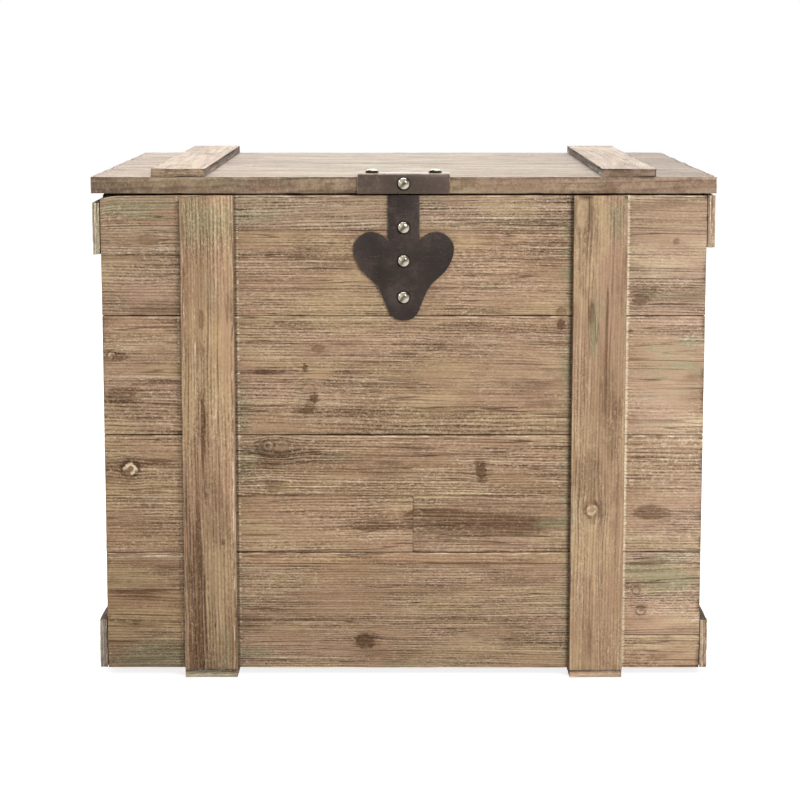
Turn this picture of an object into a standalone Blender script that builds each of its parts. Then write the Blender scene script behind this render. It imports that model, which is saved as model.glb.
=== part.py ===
# Decorative wooden trunk: a boarded box with upright battens, and a boarded lid on two butt hinges.
# A heart-shaped latch plate and a folded bracket are nailed to its front.
# Metres, +Z up, the front faces -Y. The trunk stands on its foot strips, centred on the origin.

import math

import bmesh
import bpy
from mathutils import Matrix, Vector

# Clearances and eased edges
seat_gap = 0.0003
cut_overrun = 0.002
weld_distance = 0.00001
board_ease = 0.001
strip_ease = 0.0008
ease_segments = 2

# Lid
lid_width = 0.508
lid_depth = 0.395
lid_thickness = 0.0137
lid_board_count = 4
lid_lift = 0.0012
lid_side_lip = 0.0004
lid_front_lip = 0.0019
lid_batten_width = 0.044
lid_batten_thickness = 0.0064
lid_batten_inset = 0.049

# Walls, counted in boards from the bottom
board_thickness = 0.012
board_height = 0.0986
board_rows = 4
worn_corner_run = 0.087
worn_corner_drop = 0.005

# Upright battens on the front and back
batten_width = 0.044
batten_thickness = 0.0064
batten_inset = 0.0649

# Trims along the sides
trim_thickness = 0.0064
top_trim_height = 0.043
bottom_trim_height = 0.0415
left_trim_drop = 0.006

# Foot strips under the trunk
foot_width = 0.044
foot_thickness = 0.0064

# Inside
post_width = 0.018
floor_thickness = 0.009

# Latch plate: a neck from the wall's top edge, and a heart below it
plate_thickness = 0.0015
neck_width = 0.026
neck_length = 0.0298
heart_width = 0.0824
heart_height = 0.0729
plate_nail_shares = (0.256, 0.522, 0.813)

# Latch bracket, folded over the lid's front edge
bracket_width = 0.075
bracket_depth = 0.024
bracket_thickness = 0.0024
bracket_nail_x = 0.0258

# Dome nails
nail_head_radius = 0.00555
nail_head_height = 0.0035
nail_shank_radius = 0.0011
nail_length = 0.010
nail_sides = 20
dome_steps = 4

# Butt hinges
hinge_inset = 0.018
hinge_length = 0.050
knuckle_count = 5
barrel_radius = 0.0025
bore_radius = 0.0015
pin_radius = 0.0011
pin_head_radius = 0.0019
pin_head_thickness = 0.0008
leaf_thickness = 0.0012
body_leaf_height = 0.022
lid_leaf_margin = 0.0018
knuckle_clearance = 0.0004
barrel_steps = 20
pin_sides = 16

# Countersunk hinge screws
screw_spread = 0.030
screw_head_radius = 0.0024
screw_head_height = 0.0011
screw_shank_radius = 0.0012
screw_length = 0.010
screw_sides = 16

# Half of the heart from its notch to its tip: shares of its half width, and of its height above the tip
heart_shares = (
    (0.316, 0.915),
    (0.473, 0.978),
    (0.699, 1.0),
    (0.910, 0.929),
    (1.0, 0.798),
    (0.867, 0.586),
    (0.524, 0.387),
    (0.359, 0.188),
    (0.272, 0.075),
    (0.150, 0.015),
    (0.0, 0.0),
)
curve_steps = 3

# Worked out from the sizes above
lid_half_width = lid_width / 2
lid_half_depth = lid_depth / 2
body_half_width = lid_half_width - lid_side_lip - trim_thickness - seat_gap
body_half_depth = lid_half_depth - lid_front_lip
inner_half_width = body_half_width - board_thickness
inner_half_depth = body_half_depth - board_thickness
batten_x = body_half_width - batten_inset - batten_width / 2
batten_face = body_half_depth + seat_gap + batten_thickness
lid_batten_x = lid_half_width - lid_batten_inset - lid_batten_width / 2

wall_bottom = foot_thickness + seat_gap
board_pitch = board_height + seat_gap
wall_top = wall_bottom + board_rows * board_pitch - seat_gap
lid_bottom = wall_top + lid_lift
lid_top = lid_bottom + lid_thickness
floor_top = wall_bottom + floor_thickness

axis_y = body_half_depth + seat_gap + barrel_radius
axis_z = (wall_top + lid_bottom) / 2
hinge_x = batten_x - batten_width / 2 - hinge_inset - hinge_length / 2
knuckle_pitch = (hinge_length + seat_gap) / knuckle_count
barrel_room = barrel_radius + knuckle_clearance

plate_face = body_half_depth + seat_gap + plate_thickness
bracket_face = lid_half_depth + seat_gap + bracket_thickness
bracket_top = lid_top + seat_gap + bracket_thickness
front_reach = max(batten_face, bracket_face + seat_gap + nail_head_height)
back_reach = max(batten_face, axis_y + barrel_radius)
centring = (front_reach - back_reach) / 2


def clear_scene():
    for obj in list(bpy.data.objects):
        bpy.data.objects.remove(obj, do_unlink=True)


def material(name, colour, roughness, metallic=0.0):
    look = bpy.data.materials.new(name)
    look.use_nodes = True
    shader = look.node_tree.nodes["Principled BSDF"]
    shader.inputs["Base Color"].default_value = (*colour, 1.0)
    shader.inputs["Roughness"].default_value = roughness
    shader.inputs["Metallic"].default_value = metallic
    look.diffuse_color = (*colour, 1.0)
    return look


def empty(name, place, parent=None):
    guide = bpy.data.objects.new(name, None)
    bpy.context.scene.collection.objects.link(guide)
    guide.parent = parent
    guide.location = place
    return guide


def add_object(name, mesh, place, parent, look=None):
    """Places are given in the trunk's frame, whichever empty the piece hangs from."""
    obj = bpy.data.objects.new(name, mesh)
    bpy.context.scene.collection.objects.link(obj)
    obj.parent = parent
    obj.location = Vector(place) - (Vector() if parent is trunk else parent.location)
    if look and not mesh.materials:
        mesh.materials.append(look)
    return obj


def to_mesh(form, name, smooth=False):
    bmesh.ops.recalc_face_normals(form, faces=form.faces)
    mesh = bpy.data.meshes.new(name)
    form.to_mesh(mesh)
    form.free()
    if smooth:
        mesh.shade_smooth()
        mesh.set_sharp_from_angle(angle=math.radians(35))
    return mesh


def ease_edges(obj, width):
    bevel = obj.modifiers.new("eased edges", "BEVEL")
    bevel.width = width
    bevel.segments = ease_segments


def box_mesh(name, size):
    form = bmesh.new()
    bmesh.ops.create_cube(form, size=1)
    bmesh.ops.scale(form, vec=size, verts=form.verts)
    return to_mesh(form, name)


def box(name, low, high, parent, look=None):
    low, high = Vector(low), Vector(high)
    return add_object(name, box_mesh(name, high - low), (low + high) / 2, parent, look)


def plank(name, low, high, parent, look, ease):
    obj = box(name, low, high, parent, look)
    ease_edges(obj, ease)
    return obj


def extruded(outline, depth):
    """A closed outline in the XY plane, given its depth along Z, half to each side."""
    form = bmesh.new()
    corners = [form.verts.new((x, y, -depth / 2)) for x, y in outline]
    face = form.faces.new(corners)
    raised = bmesh.ops.extrude_face_region(form, geom=[face])["geom"]
    top = [part for part in raised if isinstance(part, bmesh.types.BMVert)]
    bmesh.ops.translate(form, vec=(0, 0, depth), verts=top)
    return form


def sideways(outline, width):
    """An outline of (Y, Z) points, given its width along X."""
    form = extruded(outline, width)
    turn = Matrix(((0, 0, 1), (1, 0, 0), (0, 1, 0)))
    bmesh.ops.rotate(form, cent=(0, 0, 0), matrix=turn, verts=form.verts)
    return form


def turned(name, profile, sides):
    """A profile of (radius, height), which starts and ends on the axis, turned about the local Z axis."""
    form = bmesh.new()
    verts = [form.verts.new((radius, 0, height)) for radius, height in profile]
    edges = [form.edges.new(pair) for pair in zip(verts, verts[1:])]
    bmesh.ops.spin(
        form,
        geom=verts + edges,
        cent=(0, 0, 0),
        axis=(0, 0, 1),
        angle=math.tau,
        steps=sides,
        use_merge=True,
    )
    bmesh.ops.remove_doubles(form, verts=form.verts, dist=weld_distance)
    return to_mesh(form, name, smooth=True)


def cutter(name, mesh, place, parent):
    obj = add_object(name, mesh, place, parent)
    obj.hide_render = True
    obj.display_type = "WIRE"
    return obj


def cut(target, tool):
    boolean = target.modifiers.new(tool.name, "BOOLEAN")
    boolean.object = tool
    boolean.operation = "DIFFERENCE"
    boolean.solver = "EXACT"


def fasten(name, solid, hole, place, toward, sheets, parent, look):
    """Puts in one nail or screw, its head toward one side, and cuts its hole in each sheet."""
    turn = {"front": math.radians(90), "back": math.radians(-90), "up": 0}[toward]
    tool = cutter(name + "_hole", hole, place, parent)
    for piece in (add_object(name, solid, place, parent, look), tool):
        piece.rotation_euler = (turn, 0, 0)
    for sheet in sheets:
        cut(sheet, tool)


def between(t, before, start, end, after):
    """A value part of the way from start to end, on a curve through all four values."""
    slope = end - before
    bend = 2 * before - 5 * start + 4 * end - after
    twist = 3 * start - 3 * end + after - before
    return start + (slope * t + bend * t**2 + twist * t**3) / 2


def smooth_line(points, steps):
    """Points along a curve that passes through every given point."""
    ends = [points[0], *points, points[-1]]
    line = []
    for before, start, end, after in zip(ends, ends[1:], ends[2:], ends[3:]):
        for step in range(steps):
            along = step / steps
            line.append(tuple(between(along, *values) for values in zip(before, start, end, after)))
    return [*line, points[-1]]


def wall_levels():
    """The bottom and top of each row of wall boards, with the row's number."""
    for row in range(board_rows):
        low = wall_bottom + row * board_pitch
        yield row + 1, low, low + board_height


def make_walls():
    """Front and back boards run the full width, and the side boards fit between them."""
    walls = {"front": [], "back": []}
    for row, low, high in wall_levels():
        for side, sign in (("front", -1), ("back", 1)):
            name = f"{side}_board_{row}"
            faces = sorted((sign * body_half_depth, sign * inner_half_depth))
            if side == "front" and row == board_rows:
                walls[side].append(worn_board(name, low, high))
                continue
            start = (-body_half_width, faces[0], low)
            end = (body_half_width, faces[1], high)
            walls[side].append(plank(name, start, end, trunk, fir, board_ease))
        for side, sign in (("left", -1), ("right", 1)):
            faces = sorted((sign * body_half_width, sign * inner_half_width))
            start = (faces[0], -inner_half_depth + seat_gap, low)
            end = (faces[1], inner_half_depth - seat_gap, high)
            plank(f"{side}_board_{row}", start, end, trunk, fir, board_ease)
    return walls


def worn_board(name, low, high):
    """The top front board, whose upper left corner is worn down in a long slant."""
    rise = (high - low) / 2
    outline = (
        (-body_half_width, -rise),
        (body_half_width, -rise),
        (body_half_width, rise),
        (-body_half_width + worn_corner_run, rise),
        (-body_half_width, rise - worn_corner_drop),
    )
    mesh = to_mesh(extruded(outline, board_thickness), name)
    place = (0, -(body_half_depth + inner_half_depth) / 2, (low + high) / 2)
    obj = add_object(name, mesh, place, trunk, fir)
    obj.rotation_euler = (math.radians(90), 0, 0)
    ease_edges(obj, board_ease)
    return obj


def make_battens():
    """Upright battens on the front and back, and the foot strips under them."""
    inner = body_half_depth + seat_gap
    for side, sign in (("left", -1), ("right", 1)):
        middle = sign * batten_x
        edges = (middle - batten_width / 2, middle + batten_width / 2)
        for end, way in (("front", -1), ("back", 1)):
            faces = sorted((way * inner, way * batten_face))
            start = (edges[0], faces[0], wall_bottom)
            finish = (edges[1], faces[1], wall_top)
            plank(f"{end}_batten_{side}", start, finish, trunk, fir, strip_ease)
        start = (middle - foot_width / 2, -batten_face, 0)
        finish = (middle + foot_width / 2, batten_face, foot_thickness)
        plank(f"foot_strip_{side}", start, finish, trunk, fir, strip_ease)


def make_trims():
    """Trims along both sides, flush with the front and back boards' faces."""
    inner = body_half_width + seat_gap
    outer = inner + trim_thickness
    for side, sign, drop in (("left", -1, left_trim_drop), ("right", 1, 0)):
        faces = sorted((sign * inner, sign * outer))
        levels = {
            "top": (wall_top - drop - top_trim_height, wall_top - drop),
            "bottom": (wall_bottom, wall_bottom + bottom_trim_height),
        }
        for level, (low, high) in levels.items():
            start = (faces[0], -body_half_depth, low)
            finish = (faces[1], body_half_depth, high)
            plank(f"side_trim_{level}_{side}", start, finish, trunk, fir, strip_ease)


def make_inside():
    """Corner posts that tie the walls, standing on the floor panel, which rests on the foot strips."""
    reach_x = inner_half_width - seat_gap
    reach_y = inner_half_depth - seat_gap
    for end, way in (("front", -1), ("back", 1)):
        for side, sign in (("left", -1), ("right", 1)):
            xs = sorted((sign * reach_x, sign * (reach_x - post_width)))
            ys = sorted((way * reach_y, way * (reach_y - post_width)))
            start = (xs[0], ys[0], floor_top + seat_gap)
            finish = (xs[1], ys[1], wall_top)
            plank(f"corner_post_{end}_{side}", start, finish, trunk, inner_fir, strip_ease)
    start, finish = (-reach_x, -reach_y, wall_bottom), (reach_x, reach_y, floor_top)
    plank("floor_panel", start, finish, trunk, inner_fir, board_ease)


def make_lid():
    """Lid boards, counted from the front, held by two battens across their top."""
    pitch = (lid_depth + seat_gap) / lid_board_count
    boards = []
    for index in range(lid_board_count):
        low = -lid_half_depth + index * pitch
        start = (-lid_half_width, low, lid_bottom)
        finish = (lid_half_width, low + pitch - seat_gap, lid_top)
        boards.append(plank(f"lid_board_{index + 1}", start, finish, lid_axis, fir, board_ease))
    for side, sign in (("left", -1), ("right", 1)):
        middle = sign * lid_batten_x
        low = lid_top + seat_gap
        start = (middle - lid_batten_width / 2, -lid_half_depth, low)
        finish = (middle + lid_batten_width / 2, lid_half_depth, low + lid_batten_thickness)
        plank(f"lid_batten_{side}", start, finish, lid_axis, fir, strip_ease)
    return boards


def nail_mesh():
    """A dome head above its seat, and a shank below it with a short point."""
    arc = [math.pi / 2 * step / dome_steps for step in range(1, dome_steps + 1)]
    dome = [(nail_head_radius * math.sin(a), nail_head_height * math.cos(a)) for a in arc]
    shank = [
        (nail_shank_radius, 0),
        (nail_shank_radius, nail_shank_radius - nail_length),
        (0, -nail_length),
    ]
    return turned("dome_nail", [(0, nail_head_height), *dome, *shank], nail_sides)


def nail_hole_mesh():
    """A hole for the shank, from just under the head to just past the point."""
    radius = nail_shank_radius + seat_gap
    top, end = seat_gap / 2, -nail_length - seat_gap
    return turned("nail_hole", [(0, top), (radius, top), (radius, end), (0, end)], pin_sides)


def make_latch_plate(front_boards):
    """The heart plate, nailed through to the front boards."""
    length = neck_length + heart_height
    tip = wall_top - length
    half = heart_width / 2
    curve = smooth_line([(half * x, heart_height * z) for x, z in heart_shares], curve_steps)
    notch = heart_height * heart_shares[0][1]
    right = [(neck_width / 2, length), (neck_width / 2, notch), *curve[1:]]
    outline = right + [(-x, z) for x, z in reversed(right[:-1])]
    mesh = to_mesh(extruded(outline, plate_thickness), "heart_plate")
    place = (0, -body_half_depth - seat_gap - plate_thickness / 2, tip)
    plate = add_object("heart_plate", mesh, place, trunk, iron)
    plate.rotation_euler = (math.radians(90), 0, 0)
    seat = -plate_face - seat_gap
    for number, share in enumerate(plate_nail_shares, 1):
        name, place = f"heart_plate_nail_{number}", (0, seat, wall_top - share * length)
        fasten(name, nail, nail_hole, place, "front", [plate, *front_boards[-2:]], trunk, steel)


def make_latch_bracket(lid_boards):
    """The bracket folded over the lid's front edge, with a rounded outer bend."""
    inner_face, inner_top = -lid_half_depth - seat_gap, lid_top + seat_gap
    rear = -bracket_face + bracket_depth
    bend = [math.radians(90) * step / dome_steps for step in range(dome_steps + 1)]
    corner = [
        (inner_face - bracket_thickness * math.cos(a), inner_top + bracket_thickness * math.sin(a))
        for a in bend
    ]
    outline = [
        (-bracket_face, lid_bottom),
        *corner,
        (rear, bracket_top),
        (rear, inner_top),
        (inner_face, inner_top),
        (inner_face, lid_bottom),
    ]
    form = sideways([(y - axis_y, z - axis_z) for y, z in outline], bracket_width)
    mesh = to_mesh(form, "lid_bracket")
    bracket = add_object("lid_bracket", mesh, (0, axis_y, axis_z), lid_axis, worn_iron)
    front = (0, -bracket_face - seat_gap, (lid_bottom + bracket_top) / 2)
    middle, seat = (rear - bracket_face) / 2, bracket_top + seat_gap
    sheets = [bracket, lid_boards[0]]
    fasten("lid_bracket_nail_front", nail, nail_hole, front, "front", sheets, lid_axis, steel)
    for side, sign in (("left", -1), ("right", 1)):
        name, place = f"lid_bracket_nail_{side}", (sign * bracket_nail_x, middle, seat)
        fasten(name, nail, nail_hole, place, "up", sheets, lid_axis, steel)


def leaf_outline(inner, outer, far):
    """A hinge leaf seen from its end, rolled into its barrel about the origin, for a leaf that hangs down.
    A positive far edge turns it over, for a leaf that stands up."""
    start = -math.acos(outer / barrel_radius)
    end = math.tau - math.acos(inner / barrel_radius)
    arc = [start + (end - start) * step / barrel_steps for step in range(barrel_steps + 1)]
    roll = [(barrel_radius * math.cos(a), barrel_radius * math.sin(a)) for a in arc]
    outline = [(outer, -abs(far)), *roll, (inner, -abs(far))]
    return [(y, z if far < 0 else -z) for y, z in outline]


def make_leaf(name, x, inner, outer, far, own_knuckles, parent):
    """A leaf cut away where the other leaf's knuckles turn, and bored for the pin."""
    form = sideways(leaf_outline(inner, outer, far), hinge_length)
    leaf = add_object(name, to_mesh(form, name, smooth=True), (x, axis_y, axis_z), parent, zinc)
    notches = bmesh.new()
    for knuckle in range(knuckle_count):
        if knuckle in own_knuckles:
            continue
        low = -hinge_length / 2 + knuckle * knuckle_pitch - seat_gap
        high = low + knuckle_pitch + seat_gap
        if knuckle == 0:
            low -= cut_overrun
        if knuckle == knuckle_count - 1:
            high += cut_overrun
        made = bmesh.ops.create_cube(notches, size=1)["verts"]
        bmesh.ops.scale(notches, vec=(high - low, 2 * barrel_room, 2 * barrel_room), verts=made)
        bmesh.ops.translate(notches, vec=((low + high) / 2, 0, 0), verts=made)
    cut(leaf, cutter(name + "_notches", to_mesh(notches, name + "_notches"), (x, axis_y, axis_z), parent))
    reach = hinge_length / 2 + cut_overrun
    bore = [(0, reach), (bore_radius, reach), (bore_radius, -reach), (0, -reach)]
    tool = cutter(name + "_bore", turned(name + "_bore", bore, pin_sides), (x, axis_y, axis_z), parent)
    tool.rotation_euler = (0, math.radians(90), 0)
    cut(leaf, tool)
    return leaf


def screw_mesh(name, room):
    """A countersunk screw flush with its leaf, or its hole where there is room round it."""
    head, shank = screw_head_radius + room, screw_shank_radius + room
    profile = [
        (0, room),
        (head, room),
        (shank, -screw_head_height),
        (shank, -screw_length - room),
        (0, -screw_length - room),
    ]
    return turned(name, profile, screw_sides)


def make_hinges(back_boards, lid_boards):
    """Two butt hinges: a body leaf on the back wall, a lid leaf on the lid's rear edge, and a pin."""
    leaf_bottom = axis_z - body_leaf_height
    leaf_top = lid_top - lid_leaf_margin
    body_inner = -barrel_radius
    lid_inner = lid_half_depth + seat_gap - axis_y
    body_screw_z = (leaf_bottom + axis_z - barrel_room) / 2
    lid_screw_z = (leaf_top + axis_z + barrel_room) / 2
    screw, screw_hole = screw_mesh("screw", 0), screw_mesh("screw_hole", seat_gap)
    for side, sign in (("left", -1), ("right", 1)):
        x = sign * hinge_x
        own = range(0, knuckle_count, 2)
        other = range(1, knuckle_count, 2)
        body_outer, lid_outer = body_inner + leaf_thickness, lid_inner + leaf_thickness
        body_far, lid_far = leaf_bottom - axis_z, leaf_top - axis_z
        name = f"hinge_body_leaf_{side}"
        body_leaf = make_leaf(name, x, body_inner, body_outer, body_far, own, trunk)
        name = f"hinge_lid_leaf_{side}"
        lid_leaf = make_leaf(name, x, lid_inner, lid_outer, lid_far, other, lid_axis)
        make_pin(f"hinge_pin_{side}", x)
        body_sheets = [body_leaf, *back_boards[-2:]]
        lid_sheets = [lid_leaf, lid_boards[-1]]
        for number, way in enumerate((-1, 1), 1):
            screw_x = x + way * screw_spread / 2
            place = (screw_x, axis_y + body_outer, body_screw_z)
            name = f"hinge_body_screw_{side}_{number}"
            fasten(name, screw, screw_hole, place, "back", body_sheets, trunk, zinc)
            place = (screw_x, axis_y + lid_outer, lid_screw_z)
            name = f"hinge_lid_screw_{side}_{number}"
            fasten(name, screw, screw_hole, place, "back", lid_sheets, lid_axis, zinc)
        cut(lid_boards[-1], hinge_relief(side, x))


def make_pin(name, x):
    """A pin through the knuckles, with a flat head past each end."""
    end = hinge_length / 2 + seat_gap
    reach = end + pin_head_thickness
    profile = [
        (0, reach),
        (pin_head_radius, reach),
        (pin_head_radius, end),
        (pin_radius, end),
        (pin_radius, -end),
        (pin_head_radius, -end),
        (pin_head_radius, -reach),
        (0, -reach),
    ]
    pin = add_object(name, turned(name, profile, pin_sides), (x, axis_y, axis_z), trunk, zinc)
    pin.rotation_euler = (0, math.radians(90), 0)


def hinge_relief(side, x):
    """Room for the barrel in the lower rear edge of the lid."""
    reach = hinge_length / 2 + pin_head_thickness + 2 * seat_gap
    start = (x - reach, axis_y - barrel_room, lid_bottom - cut_overrun)
    finish = (x + reach, lid_half_depth + cut_overrun, axis_z + barrel_room)
    relief = box(f"hinge_relief_{side}", start, finish, lid_axis)
    relief.hide_render = True
    relief.display_type = "WIRE"
    return relief


clear_scene()
fir = material("weathered_fir", (0.352, 0.235, 0.150), 0.72)
inner_fir = material("plain_fir", (0.420, 0.290, 0.180), 0.80)
iron = material("dark_iron", (0.045, 0.037, 0.032), 0.45, 0.85)
worn_iron = material("worn_iron", (0.110, 0.085, 0.070), 0.50, 0.80)
steel = material("polished_steel", (0.560, 0.540, 0.510), 0.28, 1.0)
zinc = material("zinc_steel", (0.420, 0.410, 0.390), 0.38, 1.0)
trunk = empty("trunk", (0, centring, 0))
lid_axis = empty("lid_axis", (0, axis_y, axis_z), trunk)

walls = make_walls()
make_battens()
make_trims()
make_inside()
lid_boards = make_lid()
nail, nail_hole = nail_mesh(), nail_hole_mesh()
make_latch_plate(walls["front"])
make_latch_bracket(lid_boards)
make_hinges(walls["back"], lid_boards)
print(f"trunk {lid_width:.4f} m wide and {front_reach + back_reach:.4f} m deep")
print(f"lid axis at y {axis_y + centring:.5f}, z {axis_z:.5f}")
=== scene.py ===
import math
import random

import bmesh
import bpy
import numpy as np
from mathutils import Matrix, Vector


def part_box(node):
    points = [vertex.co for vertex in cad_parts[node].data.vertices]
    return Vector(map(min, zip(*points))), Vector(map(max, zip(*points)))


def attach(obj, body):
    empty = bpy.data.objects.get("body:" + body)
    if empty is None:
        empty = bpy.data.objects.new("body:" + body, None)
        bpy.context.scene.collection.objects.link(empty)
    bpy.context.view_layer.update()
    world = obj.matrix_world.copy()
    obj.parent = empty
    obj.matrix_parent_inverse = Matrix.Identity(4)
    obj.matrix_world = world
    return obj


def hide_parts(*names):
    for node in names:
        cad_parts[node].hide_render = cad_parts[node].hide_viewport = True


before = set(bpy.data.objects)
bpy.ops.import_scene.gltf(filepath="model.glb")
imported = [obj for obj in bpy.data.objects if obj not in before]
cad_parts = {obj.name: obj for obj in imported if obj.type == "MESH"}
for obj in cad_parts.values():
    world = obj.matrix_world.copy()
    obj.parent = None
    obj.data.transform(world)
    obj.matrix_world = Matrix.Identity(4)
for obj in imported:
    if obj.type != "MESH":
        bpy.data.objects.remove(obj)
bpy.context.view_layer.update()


def paint(levels):
    # a screen colour, 0 to 255, as the shaders take it
    return [c / 255 / 12.92 if c < 11 else ((c / 255 + 0.055) / 1.055) ** 2.4 for c in levels]


class Value:
    # one socket that carries a number, a vector or a colour
    def __init__(self, finish, socket):
        self.finish, self.socket = finish, socket

    def maths(self, operation, *others):
        return self.finish.maths(operation, self, *others)

    def __add__(self, other):
        return self.maths("ADD", other)

    def __sub__(self, other):
        return self.maths("SUBTRACT", other)

    def __mul__(self, other):
        return self.maths("MULTIPLY", other)

    def __rsub__(self, other):
        return self.finish.maths("SUBTRACT", other, self)

    __radd__ = __add__


class Finish:
    # a material, or the world, under construction
    def __init__(self, owner, look=None, first=None):
        self.owner, self.look = owner, look
        self.colour = look[first] if first else None
        owner.use_nodes = True
        self.tree = owner.node_tree
        self.tree.nodes.clear()

    def feed(self, socket, value):
        if isinstance(value, Value):
            self.tree.links.new(value.socket, socket)
        elif isinstance(value, tuple) and len(value) == 3 and socket.type == "RGBA":
            socket.default_value = (*paint(value), 1)
        else:
            socket.default_value = value

    def add(self, kind, settings, inputs, out=0):
        node = self.tree.nodes.new("ShaderNode" + kind)
        for key, value in settings.items():
            if key == "stops":
                ramp = node.color_ramp
                while len(ramp.elements) < len(value):
                    ramp.elements.new(1)
                for element, (level, shade) in zip(ramp.elements, value):
                    element.position = level
                    element.color = (shade, shade, shade, 1)
            else:
                setattr(node, key, value)
        for key, value in inputs.items():
            self.feed(node.inputs[key], value)
        if isinstance(out, tuple):
            return [Value(self, node.outputs[key]) for key in out]
        return Value(self, node.outputs[out]) if node.outputs else None

    def here(self):
        return self.add("TexCoord", {}, {}, "Object")

    def maths(self, operation, *values):
        return self.add("Math", {"operation": operation}, dict(enumerate(values)))

    def vector(self, x, y, z):
        return self.add("CombineXYZ", {}, {0: x, 1: y, 2: z})

    def attribute(self, name):
        # the three numbers of a vector attribute
        vector = self.add("Attribute", {"attribute_name": name}, {}, "Vector")
        return self.add("SeparateXYZ", {}, {0: vector}, (0, 1, 2))

    def noise(self, spot, scale, detail, roughness):
        inputs = {"Vector": spot, "Scale": scale, "Detail": detail, "Roughness": roughness}
        return self.add("TexNoise", {}, inputs)

    def rise(self, value, low, high):
        # 0 at low, 1 at high, smooth between
        inputs = {0: value, 1: low, 2: high, 3: 0, 4: 1}
        return self.add("MapRange", {"interpolation_type": "SMOOTHSTEP"}, inputs)

    def ramp(self, value, stops):
        return self.add("ValToRGB", {"stops": stops}, {0: value})

    def coat(self, factor, shade, mode="MIX"):
        # one more layer over the colour so far; the shade is a name in the look, or computed
        inputs = {0: factor, 6: self.colour, 7: self.look.get(shade, shade)}
        self.colour = self.add("Mix", {"data_type": "RGBA", "blend_type": mode}, inputs, 2)

    def bump(self, height, distance, strength):
        return self.add("Bump", {}, {"Height": height, "Distance": distance, "Strength": strength})

    def surface(self, inputs):
        shader = self.add("BsdfPrincipled", {}, {"Base Color": self.colour, **inputs})
        self.add("OutputMaterial", {}, {"Surface": shader})
        return self.owner


# in the wood's look the near-black colour is painted shade, and the pale cream one is partly painted
# highlight, partly rubbed wear and pale knot rings
firLook = {
    "brown": (154, 125, 97), "pinkish": (168, 136, 111), "straw": (180, 154, 119),
    "darkBrown": (112, 85, 63), "streak": (104, 74, 51), "greyGreen": (134, 131, 100),
    "ridgeLight": (230, 206, 176), "valleyDark": (80, 57, 41), "knotRed": (112, 83, 57),
    "knotDark": (68, 48, 32), "dirt": (40, 36, 28), "rubbed": (254, 236, 206), "stain": 1,
    "roughness": 0.74, "shine": 0.18, "bumpHeight": 0.0006,
}
plainLook = {
    **firLook, "brown": (182, 150, 114), "pinkish": (190, 156, 122), "straw": (200, 172, 132),
    "darkBrown": (150, 116, 84), "stain": 0.5, "roughness": 0.68, "bumpHeight": 0.0003,
}
# hands and weather have smoothed the lid, so it shines a little at low angles
lidShine = {**firLook, "roughness": 0.68, "shine": 0.34}


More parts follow.
